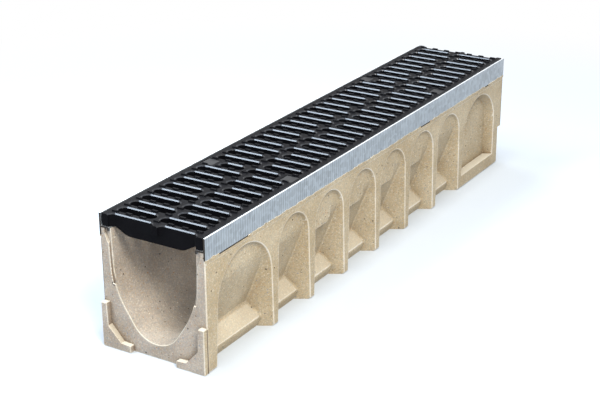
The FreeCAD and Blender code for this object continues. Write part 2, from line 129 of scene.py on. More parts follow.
class CastingLook(bpy.types.PropertyGroup):
    edge_radius: FloatProperty(
        name="Edge radius", description="Rounding on the concrete's edges",
        default=1.3 * MM, min=0.1 * MM, max=2 * MM, precision=5, unit="LENGTH")
    flash_height: FloatProperty(
        name="Flash height", description="How far the concrete creeps up over a rail's lower edge",
        default=4.5 * MM, min=0, max=6 * MM, precision=5, unit="LENGTH")
    flash_thickness: FloatProperty(
        name="Flash thickness", description="How far the flash stands proud of a rail",
        default=0.4 * MM, min=0.2 * MM, max=2 * MM, precision=5, unit="LENGTH")
    sand: FloatVectorProperty(
        name="Sand", description="Ground colour of the sides",
        default=linear("d2c4a8"), size=3, min=0, max=1, subtype="COLOR")
    resin_sand: FloatVectorProperty(
        name="Resin-rich sand", description="Darker patches of the sides",
        default=linear("bfae8e"), size=3, min=0, max=1, subtype="COLOR")
    # Painted cool light: a greyer, cooler copy of the sand for the end faces, the inward faces and the
    # channel's bottom.
    core_sand: FloatVectorProperty(
        name="Cool-lit sand", description="Ground colour in painted cool light, on the ends and in the channel",
        default=linear("cbc1b6"), size=3, min=0, max=1, subtype="COLOR")
    core_resin: FloatVectorProperty(
        name="Cool-lit patches", description="Darker patches in painted cool light",
        default=linear("b5a99c"), size=3, min=0, max=1, subtype="COLOR")
    # Painted highlight: near white on the rounded edges, the spigots' tops, the upright corners and the
    # groove crust.
    rubbed: FloatVectorProperty(
        name="Painted edge highlight", description="Colour of the painted highlight on the edges, the spigots' tops and the upright corners",
        default=linear("f4efe4"), size=3, min=0, max=1, subtype="COLOR")
    # Painted shade: dark inside the air holes and on the voids under the rail.
    pit: FloatVectorProperty(
        name="Painted pit shade", description="Painted shade inside the air holes and on the voids under the rail",
        default=linear("45382b"), size=3, min=0, max=1, subtype="COLOR")
    # Painted highlight: darker patches of the same near-white highlight.
    rubbed_shade: FloatVectorProperty(
        name="Painted highlight patches", description="Darker patches on the edges",
        default=linear("e2d8c4"), size=3, min=0, max=1, subtype="COLOR")


class RailLook(bpy.types.PropertyGroup):
    zinc: FloatVectorProperty(
        name="Zinc", description="Colour of the galvanised steel",
        default=linear("bcc6cf"), size=3, min=0, max=1, subtype="COLOR")
    # Painted highlight: the rails' faces that look up are painted paler.
    rubbed: FloatVectorProperty(
        name="Painted top highlight", description="Colour of the painted highlight on the rails' upward faces",
        default=linear("eef2f6"), size=3, min=0, max=1, subtype="COLOR")
    # Painted shadow: the rails' cut ends are painted dark.
    sheared: FloatVectorProperty(
        name="Painted end shadow", description="Colour painted on the rails' cut ends as painted shadow",
        default=linear("4a4643"), size=3, min=0, max=1, subtype="COLOR")


class GratingLook(bpy.types.PropertyGroup):
    rim_radius: FloatProperty(
        name="Rim radius", description="Rounding on the slots' rims and the studs",
        default=0.7 * MM, min=0.1 * MM, max=1 * MM, precision=5, unit="LENGTH")
    coating: FloatVectorProperty(
        name="Coating", description="Colour of the dip coating",
        default=linear("0c0c10"), size=3, min=0, max=1, subtype="COLOR")
    thin_coating: FloatVectorProperty(
        name="Thin coating", description="Colour where the coating ran thin",
        default=linear("101115"), size=3, min=0, max=1, subtype="COLOR")
    # Painted highlight: the slots' rims are painted lighter than the coating.
    rubbed: FloatVectorProperty(
        name="Painted rim highlight", description="Colour of the painted highlight on the slots' rims",
        default=linear("30353e"), size=3, min=0, max=1, subtype="COLOR")
    lock_colour: FloatVectorProperty(
        name="Locks", description="Colour of the plastic locks",
        default=linear("141519"), size=3, min=0, max=1, subtype="COLOR")


class StageLook(bpy.types.PropertyGroup):
    floor_size: FloatProperty(
        name="Floor size", description="Side of the floor", default=14, min=4, unit="LENGTH")
    distance: FloatProperty(
        name="Camera distance", description="From the camera to the point that it looks at",
        default=2.2946, min=1, unit="LENGTH")
    azimuth: FloatProperty(
        name="Azimuth", description="Turn of the view about Z from looking along Y",
        default=math.radians(31.69), subtype="ANGLE")
    elevation: FloatProperty(
        name="Elevation", description="How far the camera looks down",
        default=math.radians(22.37), subtype="ANGLE")
    roll: FloatProperty(
        name="Roll", description="Turn of the picture about the view", default=math.radians(-0.35),
        subtype="ANGLE")
    lens: FloatProperty(name="Lens", description="Focal length on a 36 mm frame", default=83.5, min=20)
    floor_bounce: FloatVectorProperty(
        name="Floor bounce", description="How much of the light the floor sends back up",
        default=linear("adb1b6"), size=3, min=0, max=1, subtype="COLOR")
    floor_shade: FloatVectorProperty(
        name="Floor shade", description="Colour that the floor shows in the object's shadow",
        default=linear("d4dde7"), size=3, min=0, max=1, subtype="COLOR")
    sky: FloatVectorProperty(
        name="Sky", description="Colour of the even light from all round",
        default=linear("f7faff"), size=3, min=0, max=1, subtype="COLOR")
    sky_strength: FloatProperty(
        name="Sky strength", description="Strength of the even light from all round",
        default=0.44, min=0)


# Shared modelling steps ---------------------------------------------------------------------

def select_only(target):
    """Make one object the only one selected, and active."""
    bpy.ops.object.select_all(action="DESELECT")
    target.select_set(True)
    bpy.context.view_layer.objects.active = target


def apply_modifiers(target):
    """Apply every modifier of an object, in order."""
    select_only(target)
    for modifier in list(target.modifiers):
        bpy.ops.object.modifier_apply(modifier=modifier.name)


def edit_all(piece, *steps):
    """Run edit-mode steps, each an operator and its settings, on the whole of a piece's mesh."""
    select_only(piece)
    bpy.ops.object.mode_set(mode="EDIT")
    bpy.ops.mesh.select_all(action="SELECT")
    for step, settings in steps:
        step(**settings)
    bpy.ops.object.mode_set(mode="OBJECT")


MERGE_DOUBLES = (bpy.ops.mesh.remove_doubles, {"threshold": MERGE_DISTANCE})
JOIN_FLAT = (bpy.ops.mesh.dissolve_limited, {"angle_limit": FLAT_ANGLE})
FACE_OUTWARDS = (bpy.ops.mesh.normals_make_consistent, {"inside": False})


def merged_copy(node, name, join_flat=True):
    """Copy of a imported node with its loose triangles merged, and its flat faces joined on request."""
    piece = nodes[node].copy()
    piece.data = nodes[node].data.copy()
    piece.name = name
    piece.data.name = name
    piece.parent = None
    for key in list(piece.keys()):
        del piece[key]
    bpy.context.scene.collection.objects.link(piece)
    piece.hide_render = piece.hide_viewport = False
    piece.hide_set(False)
    select_only(piece)
    bpy.ops.mesh.customdata_custom_splitnormals_clear()
    steps = [MERGE_DOUBLES, JOIN_FLAT] if join_flat else [MERGE_DOUBLES]
    edit_all(piece, *steps)
    return piece


def round_edges(piece, radius, segments, edge_material=-1, chosen=None):
    """Round a piece's chosen edges, or else every sharp one, and shade it smoothly.

    Chosen edges are rounded in full, which leaves doubled points where a rounding runs out.
    """
    rounding = piece.modifiers.new("Rounded edges", "BEVEL")
    rounding.width = radius
    rounding.segments = segments
    rounding.limit_method = "WEIGHT" if chosen else "ANGLE"
    rounding.angle_limit = SHARP_ANGLE
    rounding.use_clamp_overlap = not chosen
    rounding.loop_slide = False
    rounding.material = edge_material
    if chosen:
        weights = piece.data.attributes.new("bevel_weight_edge", "FLOAT", "EDGE")
        for edge in chosen:
            weights.data[edge].value = 1.0
    apply_modifiers(piece)
    if chosen:
        edit_all(piece, MERGE_DOUBLES)
    bpy.ops.object.shade_smooth_by_angle(angle=SMOOTH_ANGLE)
    weighting = piece.modifiers.new("Weighted normals", "WEIGHTED_NORMAL")
    weighting.keep_sharp = True
    apply_modifiers(piece)


def finish_piece(piece, body, slot, *materials):
    """Give a piece its finishes and its body."""
    piece.data.materials.clear()
    for material in materials:
        piece.data.materials.append(material)
    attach(piece, body)


# Finishes -----------------------------------------------------------------------------------

# Grain size in mm, share of the cells that show one, its reach in the cell, and its strength.
# The first row is the sand itself, drawn a little coarser than it is so that it shows.
GRAINS = ((1.8, 1.0, 0.8, 0.2), (2.3, 0.4, 0.42, 0.45), (4.4, 0.14, 0.32, 0.7))
# Basalt, grey quartz, rusty quartz, sand and white quartz, each from its share upwards.
GRAIN_COLOURS = ((0.0, "6f6860"), (0.22, "8a93a0"), (0.45, "b8875a"), (0.62, "cdb994"), (0.88, "f6f1e4"))
# Painted shade inside the pin holes.
PIN_HOLE_SHADE_COLOUR = "5d5143"
PAINTED_SHADE_COLOUR = "8f7b5f"  # painted shade: multiplies the concrete's own colour where it is most sheltered
# Painted top light: faces that look up are mixed towards this pale colour.
PAINTED_TOP_LIGHT_COLOUR = "f2ecdc"
PAINTED_SHADE_REACH = 55 * MM  # how near a neighbouring surface has to be to give a place painted shade


def polymer_concrete(name, pale, dark, grit, top_light=0.7):
    """Polymer concrete: quartz sand and coloured grit in resin, cast against a smooth mould.

    It gives a sandy ground in soft patches of two tones, sharp grains of grey, rust and white,
    a few pin holes with painted shade in them, and a dull skin that a low light catches as fine grit.
    Recesses get painted shade, darker and browner where neighbouring surfaces are near, and faces
    that look up get a pale painted top light. Grit is how strongly the grains show through the
    skin, and the last argument is how much of that painted top light a level place gets.
    """
    material, tree, shader, coordinates = new_material(name)
    patches = add_node(tree, "ShaderNodeTexNoise",
                       {"Vector": coordinates, "Scale": per_mm(70), "Detail": 5, "Roughness": 0.6})
    ground = add_node(tree, "ShaderNodeValToRGB", {"Fac": patches.outputs["Fac"]},
                      [(0.36, tuple(dark)), (0.62, tuple(pale))])
    sand = add_node(tree, "ShaderNodeTexNoise",
                    {"Vector": coordinates, "Scale": per_mm(2.2), "Detail": 3, "Roughness": 0.7})
    sand_shade = add_node(tree, "ShaderNodeMapRange",
                          {"Value": sand.outputs["Fac"], "From Min": 0.3, "From Max": 0.7,
                           "To Min": 0.86, "To Max": 1.1})
    sandy = add_node(tree, "ShaderNodeMix",
                     {"Factor": 1.0, 6: ground.outputs["Color"], 7: sand_shade.outputs["Result"]},
                     data_type="RGBA", blend_type="MULTIPLY")
    colour = sandy.outputs[2]
    for size, share, reach, strength in GRAINS:
        grains = add_node(tree, "ShaderNodeTexVoronoi",
                          {"Vector": coordinates, "Scale": per_mm(size), "Randomness": 1.0})
        pick = add_node(tree, "ShaderNodeSeparateColor", {"Color": grains.outputs["Color"]})
        kinds = add_node(tree, "ShaderNodeValToRGB", {"Fac": pick.outputs["Green"]},
                         [(share_below, linear(grain)) for share_below, grain in GRAIN_COLOURS])
        kinds.color_ramp.interpolation = "CONSTANT"
        chosen = add_node(tree, "ShaderNodeMath", {0: pick.outputs["Red"], 1: share}, operation="LESS_THAN")
        inside = add_node(tree, "ShaderNodeMapRange",
                          {"Value": grains.outputs["Distance"], "From Min": reach, "From Max": reach - 0.1,
                           "To Min": 0, "To Max": strength * grit})
        cover = add_node(tree, "ShaderNodeMath",
                         {0: chosen.outputs[0], 1: inside.outputs["Result"]}, operation="MULTIPLY")
        speckled = add_node(tree, "ShaderNodeMix",
                            {"Factor": cover.outputs[0], 6: colour, 7: kinds.outputs["Color"]},
                            data_type="RGBA")
        colour = speckled.outputs[2]
    pores = add_node(tree, "ShaderNodeTexVoronoi",
                     {"Vector": coordinates, "Scale": per_mm(19), "Randomness": 1.0})
    pore = add_node(tree, "ShaderNodeMapRange",
                    {"Value": pores.outputs["Distance"], "From Min": 0.085, "From Max": 0.055,
                     "To Min": 0, "To Max": 1})
    # Painted shade: the pin holes are darkened inside.
    pin_hole_shaded = add_node(tree, "ShaderNodeMix",
                     {"Factor": pore.outputs["Result"], 6: colour, 7: (*linear(PIN_HOLE_SHADE_COLOUR), 1)},
                     data_type="RGBA")
    # Painted shade: recesses, creases and the undercut are darkened and browned where neighbouring surfaces
    # are near.
    occlusion = add_node(tree, "ShaderNodeAmbientOcclusion", {"Distance": PAINTED_SHADE_REACH},
                       samples=8, only_local=True)
    painted_shade = add_node(tree, "ShaderNodeValToRGB", {"Fac": occlusion.outputs["AO"]},
                     [(0.3, linear(PAINTED_SHADE_COLOUR)), (0.92, linear("ffffff"))])
    painted_shade_mix = add_node(tree, "ShaderNodeMix",
                      {"Factor": 1.0, 6: pin_hole_shaded.outputs[2], 7: painted_shade.outputs["Color"]},
                      data_type="RGBA", blend_type="MULTIPLY")
    # Painted top light: the more a face looks up, the paler it is painted.
    facing = add_node(tree, "ShaderNodeNewGeometry").outputs["Normal"]
    upwards = add_node(tree, "ShaderNodeSeparateXYZ", {"Vector": facing}).outputs["Z"]
    top_light_share = add_node(tree, "ShaderNodeMapRange",
                       {"Value": upwards, "From Min": 0.4, "From Max": 0.95, "To Max": top_light})
    top_lit_colour = add_node(tree, "ShaderNodeMix",
                      {"Factor": top_light_share.outputs["Result"], 6: painted_shade_mix.outputs[2],
                       7: (*linear(PAINTED_TOP_LIGHT_COLOUR), 1)}, data_type="RGBA")
    tree.links.new(top_lit_colour.outputs[2], shader.inputs["Base Color"])
    relief = add_node(tree, "ShaderNodeMath", {0: sand.outputs["Fac"], 1: pore.outputs["Result"]},
                      operation="SUBTRACT")
    bump = add_node(tree, "ShaderNodeBump",
                    {"Height": relief.outputs[0], "Strength": 0.5, "Distance": 0.4 * MM})
    tree.links.new(bump.outputs["Normal"], shader.inputs["Normal"])
    dullness = add_node(tree, "ShaderNodeMapRange",
                        {"Value": patches.outputs["Fac"], "To Min": 0.58, "To Max": 0.78})
    tree.links.new(dullness.outputs["Result"], shader.inputs["Roughness"])
    shader.inputs["IOR"].default_value = 1.5
    return material


WAVE_TURN = math.tau / 20  # the wave texture repeats 20 times in this many units


def galvanised_steel(look):
    """Strip steel, hot-dip galvanised and then roll-formed.

    It gives a pale blue-grey metal with faint spangle, fine roll lines across the strip, drawn
    coarser than they are so that they show, and a dull patchy sheen. The cut ends are painted dark
    as painted shadow, and the faces that look up are painted paler as a painted highlight.
    """
    material, tree, shader, coordinates = new_material("hot-dip galvanised steel")
    spangle = add_node(tree, "ShaderNodeTexVoronoi",
                       {"Vector": coordinates, "Scale": per_mm(7), "Randomness": 1.0})
    cloud = add_node(tree, "ShaderNodeTexNoise",
                     {"Vector": coordinates, "Scale": per_mm(45), "Detail": 4, "Roughness": 0.6})
    lines = add_node(tree, "ShaderNodeTexWave",
                     {"Vector": coordinates, "Scale": per_mm(6) * WAVE_TURN, "Distortion": 0.6,
                      "Detail": 1.0}, wave_type="BANDS", bands_direction="Y")
    pick = add_node(tree, "ShaderNodeSeparateColor", {"Color": spangle.outputs["Color"]})
    shade = add_node(tree, "ShaderNodeMath", {0: pick.outputs["Red"], 1: cloud.outputs["Fac"]},
                     operation="ADD")
    shade = add_node(tree, "ShaderNodeMath", {0: shade.outputs[0], 1: lines.outputs["Fac"]},
                     operation="ADD")
    tone = add_node(tree, "ShaderNodeMapRange",
                    {"Value": shade.outputs[0], "From Min": 0.3, "From Max": 2.2,
                     "To Min": 0.66, "To Max": 1.12})
    toned = add_node(tree, "ShaderNodeMix",
                     {"Factor": 1.0, 6: (*look.zinc, 1), 7: tone.outputs["Result"]},
                     data_type="RGBA", blend_type="MULTIPLY")
    low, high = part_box("edge_rail_right")
    # Painted shadow: the rails' cut ends, found by their place along Y, are painted dark.
    along = add_node(tree, "ShaderNodeSeparateXYZ", {"Vector": coordinates}).outputs["Y"]
    near_end = add_node(tree, "ShaderNodeMath", {0: along, 1: low.y + TOLERANCE}, operation="LESS_THAN")
    far_end = add_node(tree, "ShaderNodeMath", {0: along, 1: high.y - TOLERANCE}, operation="GREATER_THAN")
    sheared = add_node(tree, "ShaderNodeMath", {0: near_end.outputs[0], 1: far_end.outputs[0]},
                       operation="ADD")
    cut = add_node(tree, "ShaderNodeMix",
                   {"Factor": sheared.outputs[0], 6: toned.outputs[2], 7: (*look.sheared, 1)},
                   data_type="RGBA")
    # Painted highlight: the more a face looks up, the more it is painted towards the pale colour.
    facing = add_node(tree, "ShaderNodeNewGeometry").outputs["Normal"]
    upwards = add_node(tree, "ShaderNodeSeparateXYZ", {"Vector": facing}).outputs["Z"]
    rubbed = add_node(tree, "ShaderNodeMapRange", {"Value": upwards, "From Min": 0.3, "From Max": 0.8})
    highlighted = add_node(tree, "ShaderNodeMix",
                        {"Factor": rubbed.outputs["Result"], 6: cut.outputs[2], 7: (*look.rubbed, 1)},
                        data_type="RGBA")
    tree.links.new(highlighted.outputs[2], shader.inputs["Base Color"])
    dullness = add_node(tree, "ShaderNodeMapRange",
                        {"Value": pick.outputs["Green"], "To Min": 0.4, "To Max": 0.55})
    tree.links.new(dullness.outputs["Result"], shader.inputs["Roughness"])
    bump = add_node(tree, "ShaderNodeBump",
                    {"Height": lines.outputs["Fac"], "Strength": 0.25, "Distance": 0.1 * MM})
    tree.links.new(bump.outputs["Normal"], shader.inputs["Normal"])
    shader.inputs["Metallic"].default_value = 0.85
    return material


def coated_cast_iron(name, thin, thick, grain_depth, dullness, gloss):
    """Sand-cast ductile iron, dip-coated in black.

    Flats keep the grain of the sand mould under a thin matt coat. The rims get a glossier copy
    whose lighter colour is a painted highlight, a thin line of light along each rim; its gloss
    catches the lamps as well.
    """
    material, tree, shader, coordinates = new_material(name)
    cloud = add_node(tree, "ShaderNodeTexNoise",
                     {"Vector": coordinates, "Scale": per_mm(22), "Detail": 4, "Roughness": 0.6})
    colour = add_node(tree, "ShaderNodeValToRGB", {"Fac": cloud.outputs["Fac"]},
                      [(0.35, tuple(thick)), (0.7, tuple(thin))])
    tree.links.new(colour.outputs["Color"], shader.inputs["Base Color"])
    grain = add_node(tree, "ShaderNodeTexNoise",
                     {"Vector": coordinates, "Scale": per_mm(1.6), "Detail": 3, "Roughness": 0.65})
    bump = add_node(tree, "ShaderNodeBump",
                    {"Height": grain.outputs["Fac"], "Strength": 0.35, "Distance": grain_depth})
    tree.links.new(bump.outputs["Normal"], shader.inputs["Normal"])
    dull = add_node(tree, "ShaderNodeMapRange",
                    {"Value": cloud.outputs["Fac"], "To Min": dullness, "To Max": dullness + 0.12})
    tree.links.new(dull.outputs["Result"], shader.inputs["Roughness"])
    shader.inputs["Specular IOR Level"].default_value = gloss
    return material


def moulded_plastic(look):
    """Glass-filled polyamide, injection moulded against a spark-eroded cavity.

    It gives a charcoal skin with a fine even texture and a soft sheen.
    """
    material, tree, shader, coordinates = new_material("moulded polyamide")
    texture = add_node(tree, "ShaderNodeTexNoise",
                       {"Vector": coordinates, "Scale": per_mm(0.9), "Detail": 2})
    cloud = add_node(tree, "ShaderNodeTexNoise", {"Vector": coordinates, "Scale": per_mm(9), "Detail": 3})
    tone = add_node(tree, "ShaderNodeMapRange", {"Value": cloud.outputs["Fac"], "To Min": 0.8, "To Max": 1.2})
    toned = add_node(tree, "ShaderNodeMix",
                     {"Factor": 1.0, 6: (*look.lock_colour, 1), 7: tone.outputs["Result"]},
                     data_type="RGBA", blend_type="MULTIPLY")
    tree.links.new(toned.outputs[2], shader.inputs["Base Color"])
    dullness = add_node(tree, "ShaderNodeMapRange",
                        {"Value": texture.outputs["Fac"], "To Min": 0.42, "To Max": 0.6})
    tree.links.new(dullness.outputs["Result"], shader.inputs["Roughness"])
    bump = add_node(tree, "ShaderNodeBump",
                    {"Height": texture.outputs["Fac"], "Strength": 0.3, "Distance": 0.1 * MM})
    tree.links.new(bump.outputs["Normal"], shader.inputs["Normal"])
    return material


# Pieces -------------------------------------------------------------------------------------

# Skins of the trough: side; a cooler copy as painted cool light; a near-white painted highlight; a dark
# painted shade.
SIDE_SKIN, COOL_LIGHT_SKIN, PAINTED_HIGHLIGHT_SKIN, PAINTED_SHADE_SKIN = range(4)
FLAT_COAT, HIGHLIGHT_RIM_COAT = range(2)

# Least part of a face's unit normal along an axis, for the face to look that way.
MOSTLY, PARTLY, SLIGHTLY, BARELY = 0.9, 0.5, 0.3, 0.01
STRAIGHT_ALONG = 0.95    # least part of an edge's direction along the channel

SPIGOT_LENGTH = 8.8 * MM
INVERT_REACH = 30 * MM   # half of the width in which the channel's bottom is nearly level
CORNER_REACH = 3 * MM    # the chamfered upright corners lie this near to the sides
NICHE_REACH = 80 * MM    # the niches' floors and backs lie nearer to the middle than this
FOOT_TOP = 19 * MM
GROOVE_FOOT = 102 * MM   # the seal groove's foot, above the bed
GROOVE_REACH = 86 * MM   # the groove lies nearer to the middle than this
NOTCH_RADIUS = 3 * MM
# Air holes in the right side: along from the spigot end, up, radius.
PORES = ((239.5 * MM, 149 * MM, 1.3 * MM), (52 * MM, 61 * MM, 0.9 * MM), (176 * MM, 96 * MM, 1.1 * MM),
         (338 * MM, 118 * MM, 0.8 * MM), (430 * MM, 64 * MM, 1.2 * MM), (545 * MM, 141 * MM, 0.9 * MM),
         (655 * MM, 83 * MM, 1.0 * MM), (762 * MM, 127 * MM, 1.1 * MM), (905 * MM, 72 * MM, 0.9 * MM))
RAIL_LEG = 34 * MM       # how far the rails' outer legs reach down
RAIL_THICKNESS = 3 * MM
VOID_FLOOR, VOID_ROOF = 173.9 * MM, 176.1 * MM  # heights between which the casting's voids lie
VOID_SPANS = ((33 * MM, 106 * MM), (650 * MM, 686 * MM), (917 * MM, 932 * MM))  # along the right rail
FLASH_STEP = 1.6 * MM
FLASH_DROP = 3.4 * MM    # how far the flash reaches down over the band
FLASH_SINK = 0.1 * MM    # how far its lower edge lies inside the casting
FLASH_WAVE = 9 * MM      # size of the waves in its lip
CRUST_TOP = 34 * MM      # from the rails' top down to the crust's upper end
CRUST_RADIUS = 0.8 * MM
CRUST_VOXEL = 0.35 * MM
CRUMBS = (2.2 * MM, 2.4 * MM, 0.55)  # size of the pattern, push, and the grey that stays put
LUMPS = (7 * MM, 1.6 * MM, 0.5)
RIM_DEPTH = 2 * MM
RIM_SLOPE = (0.5, 0.9)   # how far up the slots' chamfered rims face
LOCK_RADIUS = 0.4 * MM


def trough_skin(face, low, high):
    """Which skin a face of the trough casting has, from its place and the way that it looks.

    The faces of the voids under the rail get painted shadow. The spigots' tops and the upright
    corners get the near-white painted highlight. The end faces, the inward faces and the channel's
    bottom get a greyer, cooler copy of the concrete as painted cool light, and the rest is side.
    """
    normal, middle = face.normal, face.center
    outwards = normal.x * math.copysign(1, middle.x)
    # Painted shadow: the faces of the voids under the rail are painted dark, where only shadow falls.
    under_rail = abs(middle.x) > high.x - RAIL_THICKNESS and VOID_FLOOR < middle.z < VOID_ROOF
    if under_rail and abs(normal.x) < PARTLY:
        return PAINTED_SHADE_SKIN
    # Painted top light: the spigots' upward faces get the near-white highlight skin.
    if normal.z > SLIGHTLY and middle.y < low.y + SPIGOT_LENGTH:
        return PAINTED_HIGHLIGHT_SKIN
    # Painted cool light: the end faces, the inward faces and the channel's bottom get the greyer, cooler
    # copy.
    if abs(normal.y) > MOSTLY or outwards < -BARELY:
        return COOL_LIGHT_SKIN
    if normal.z > MOSTLY and abs(middle.x) < INVERT_REACH:
        return COOL_LIGHT_SKIN
    # Painted highlight: the chamfered upright corners get the near-white skin.
    if outwards > PARTLY and abs(normal.y) > SLIGHTLY and abs(middle.x) > high.x - CORNER_REACH:
        return PAINTED_HIGHLIGHT_SKIN
    return SIDE_SKIN


def outer_edges(mesh, wanted):
    """Indices of the sharp edges that stand out and whose middles are wanted."""
    sides = {}
    for face in mesh.polygons:
        for key in face.edge_keys:
            sides.setdefault(key, []).append(face)
    found = []
    for edge in mesh.edges:
        faces = sides.get(edge.key, ())
        if len(faces) != 2:
            continue
        one, other = faces
        if PAINTED_SHADE_SKIN in (one.material_index, other.material_index):
            continue
        if one.normal.angle(other.normal) < SHARP_ANGLE:
            continue
        ends = [mesh.vertices[index].co for index in edge.vertices]
        middle = (ends[0] + ends[1]) / 2
        if one.normal.dot(other.center - middle) < 0 and wanted(middle, one.normal, other.normal):
            found.append(edge.index)
    return found


def on_groove_rim(point, end, foot, top):
    """Whether a point lies on the left seal groove's outer rim, on the end face, under a height."""
    return abs(point.y - end) < TOLERANCE and foot - MM < point.z < top and -GROOVE_REACH < point.x < 0


def dig_pits(piece, pits, skin):
    """Cut small round pits, given by place and radius, and line them with a skin."""
    balls = []
    for place, radius in pits:
        bpy.ops.object.select_all(action="DESELECT")
        bpy.ops.mesh.primitive_ico_sphere_add(subdivisions=2, radius=radius, location=place)
        balls.append(bpy.context.object)
    for ball in balls:
        ball.select_set(True)
    bpy.ops.object.join()
    cutter = bpy.context.object
    bpy.ops.object.transform_apply(location=True, rotation=True, scale=True)
    for material in piece.data.materials:
        cutter.data.materials.append(material)
    for face in cutter.data.polygons:
        face.material_index = skin
    cutting = piece.modifiers.new("Painted pit shade", "BOOLEAN")
    cutting.operation = "DIFFERENCE"
    cutting.object = cutter
    cutting.solver = "EXACT"
    cutting.material_mode = "INDEX"
    apply_modifiers(piece)
    bpy.data.objects.remove(cutter)


def roughen(piece, name, size, strength, middle=0.5, direction="NORMAL", group=""):
    """Push a piece's points in and out by a cloudy pattern."""
    pattern = bpy.data.textures.new(name, "CLOUDS")
    pattern.noise_scale = size
    pattern.noise_depth = 3
    push = piece.modifiers.new(name, "DISPLACE")
    push.texture = pattern
    push.texture_coords = "LOCAL"
    push.direction = direction
    push.strength = strength
    push.mid_level = middle
    push.vertex_group = group
    apply_modifiers(piece)


class DRAIN_OT_trough(bpy.types.Operator):
    """Open the trough casting's air holes, round its edges and give it its concrete"""
    bl_idname = "drain.trough"
    bl_label = "Trough casting"

    def execute(self, context):
        look = context.scene.drain_casting
        piece = merged_copy("channel_body", "trough_casting")
        skins = (polymer_concrete("cast polymer concrete", look.sand, look.resin_sand, 1.0),
                 # Painted cool light, with little painted top light, for the ends and the channel.
                 polymer_concrete("polymer concrete in painted cool light", look.core_sand,
                                  look.core_resin, 1.0, top_light=0.1),
                 polymer_concrete("polymer concrete with painted highlight", look.rubbed, look.rubbed_shade, 0.5),
                 polymer_concrete("polymer concrete with painted shade", look.pit, look.pit, 0.5, top_light=0.0))
        finish_piece(piece, "trough", "polymer_concrete", *skins)
        low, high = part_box("channel_body")
        for face in piece.data.polygons:
            face.material_index = trough_skin(face, low, high)

        end = low.y + SPIGOT_LENGTH
        rim = [vertex.co for vertex in piece.data.vertices
               if on_groove_rim(vertex.co, end, low.z + GROOVE_FOOT, high.z)]
        foot = min(rim, key=lambda point: point.z)
        pits = [(foot.copy(), NOTCH_RADIUS)]
        for along, up, radius in PORES:
            start = Vector((high.x + MM, end + along, up))
            hit, place, _, _ = piece.ray_cast(start, Vector((-1, 0, 0)))
            if hit:
                pits.append((place, radius))
        # The pits are lined with painted shade.
        dig_pits(piece, pits, PAINTED_SHADE_SKIN)

        leg_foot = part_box("edge_rail_right")[1].z - RAIL_LEG

        def wanted(middle, one, other):
            at_an_end = min(middle.y - low.y, high.y - middle.y) < 2 * SPIGOT_LENGTH
            in_a_niche = abs(middle.x) < NICHE_REACH and not at_an_end
            runs_along = abs(one.cross(other).normalized().y) > STRAIGHT_ALONG and middle.z < FOOT_TOP
            return middle.z < leg_foot - 2 * look.edge_radius and (runs_along or not in_a_niche)

        # The rounded edges get the near-white painted highlight.
        round_edges(piece, look.edge_radius, 2, PAINTED_HIGHLIGHT_SKIN, outer_edges(piece.data, wanted))
        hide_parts("channel_body")
        return {"FINISHED"}


class DRAIN_OT_flash(bpy.types.Operator):
    """Let the concrete creep up over the rails' lower edges"""
    bl_idname = "drain.flash"
    bl_label = "Flash"

    def execute(self, context):
        look = context.scene.drain_casting
        skin = polymer_concrete("polymer concrete flash", look.sand, look.resin_sand, 1.0)
        for side, sign in (("right", 1), ("left", -1)):
            low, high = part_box("edge_rail_" + side)
            outer = sign * max(abs(low.x), abs(high.x))
            foot = high.z - RAIL_LEG
            spans = VOID_SPANS if side == "right" else ()
            starts = [0, *(span[1] for span in spans)]
            stops = [*(span[0] for span in spans), high.y - low.y]
            strips = [creep_strip(outer, sign, low.y + start, low.y + stop, foot, look)
                      for start, stop in zip(starts, stops)]
            bpy.ops.object.select_all(action="DESELECT")
            for strip in strips:
                strip.select_set(True)
            bpy.context.view_layer.objects.active = strips[0]
            if len(strips) > 1:
                bpy.ops.object.join()
            piece = bpy.context.object
            piece.name = piece.data.name = "flash_" + side
            finish_piece(piece, "trough", "polymer_concrete", skin)
        return {"FINISHED"}


def creep_strip(outer, sign, start, stop, foot, look):
    """Strip of concrete along a rail's lower edge, with an uneven lip."""
    rows = max(4, round((stop - start) / FLASH_STEP))
    bpy.ops.object.select_all(action="DESELECT")
    bpy.ops.mesh.primitive_grid_add(
        x_subdivisions=3, y_subdivisions=rows, size=1,
        location=(outer + sign * look.flash_thickness, (start + stop) / 2, foot - FLASH_DROP / 2),
        rotation=(0, math.pi / 2, 0))
    strip = bpy.context.object
    strip.scale = (FLASH_DROP, stop - start, 1)
    bpy.ops.object.transform_apply(location=True, rotation=True, scale=True)
    thickness = strip.modifiers.new("Thickness", "SOLIDIFY")
    thickness.thickness = 2 * look.flash_thickness
    thickness.offset = -sign
    apply_modifiers(strip)
    for vertex in strip.data.vertices:
        if vertex.co.z < foot - FLASH_DROP + TOLERANCE:
            vertex.co.x = outer - sign * FLASH_SINK
    edit_all(strip, MERGE_DOUBLES, FACE_OUTWARDS)
    lip = strip.vertex_groups.new(name="lip")
    lip.add([vertex.index for vertex in strip.data.vertices if vertex.co.z > foot - TOLERANCE],
            1.0, "REPLACE")
    roughen(strip, "creep", FLASH_WAVE, look.flash_height, middle=0.3, direction="Z", group="lip")
    select_only(strip)
    bpy.ops.object.shade_smooth_by_angle(angle=SMOOTH_ANGLE)
    return strip


